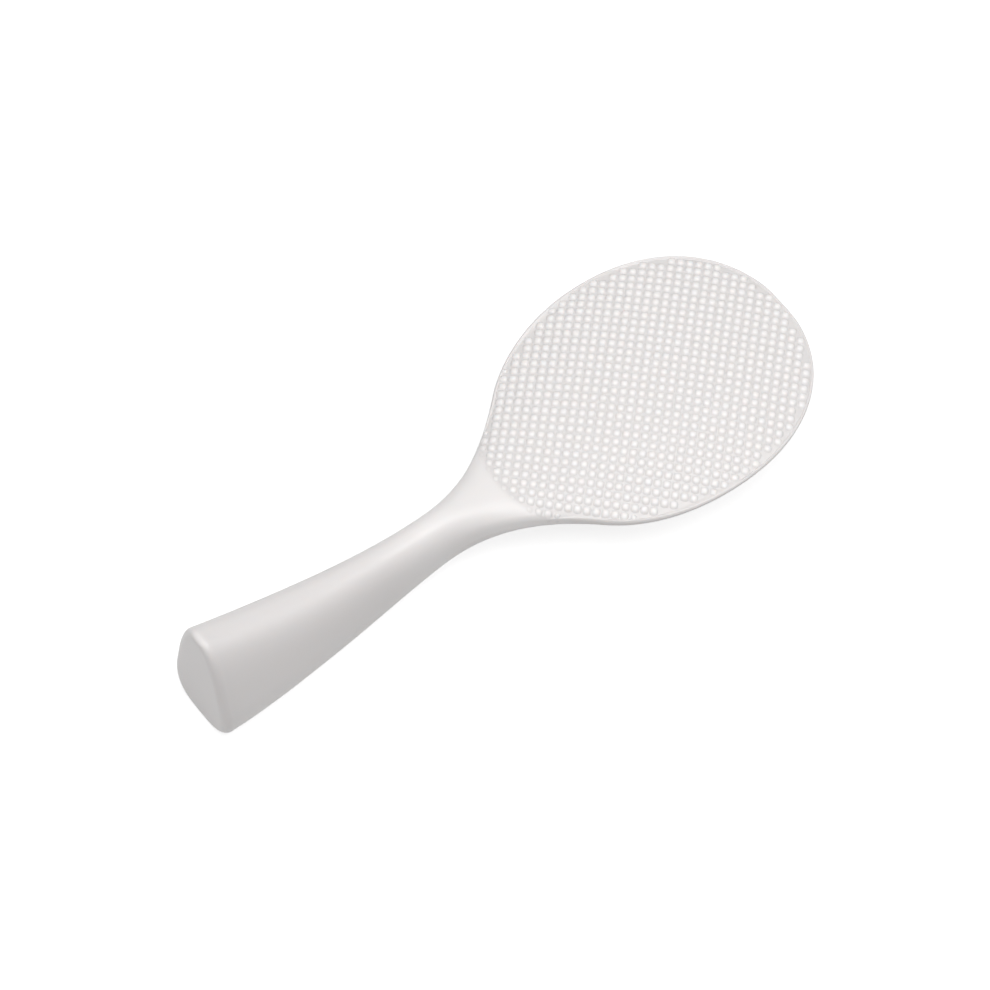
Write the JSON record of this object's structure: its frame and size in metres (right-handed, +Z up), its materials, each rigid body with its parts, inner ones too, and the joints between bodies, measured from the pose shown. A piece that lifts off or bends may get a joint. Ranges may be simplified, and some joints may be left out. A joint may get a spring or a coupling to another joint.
{
  "type": "rice paddle",
  "caption": "Self-standing moulded rice paddle with an oval blade embossed with small bumps, a narrow neck and a thick hollow handle closed by a flat stand face.",
  "frame": {"origin": "on the table under the middle of the paddle's length, on the middle line", "axes": "+X along the paddle from the handle to the tip of the blade, +Y across, +Z up out of the bumped side of the blade"},
  "size_m": [0.18, 0.0698, 0.0373],
  "materials": {
    "white_plastic": "satin-glossy white polypropylene, slightly translucent",
    "cap_plastic": "satin-glossy white polypropylene",
    "steel": "plain cut steel"
  },
  "bodies": {
    "root": {"paddle_body": "white_plastic", "base_cap": "cap_plastic", "counterweight": "steel"}
  },
  "joints": []
}
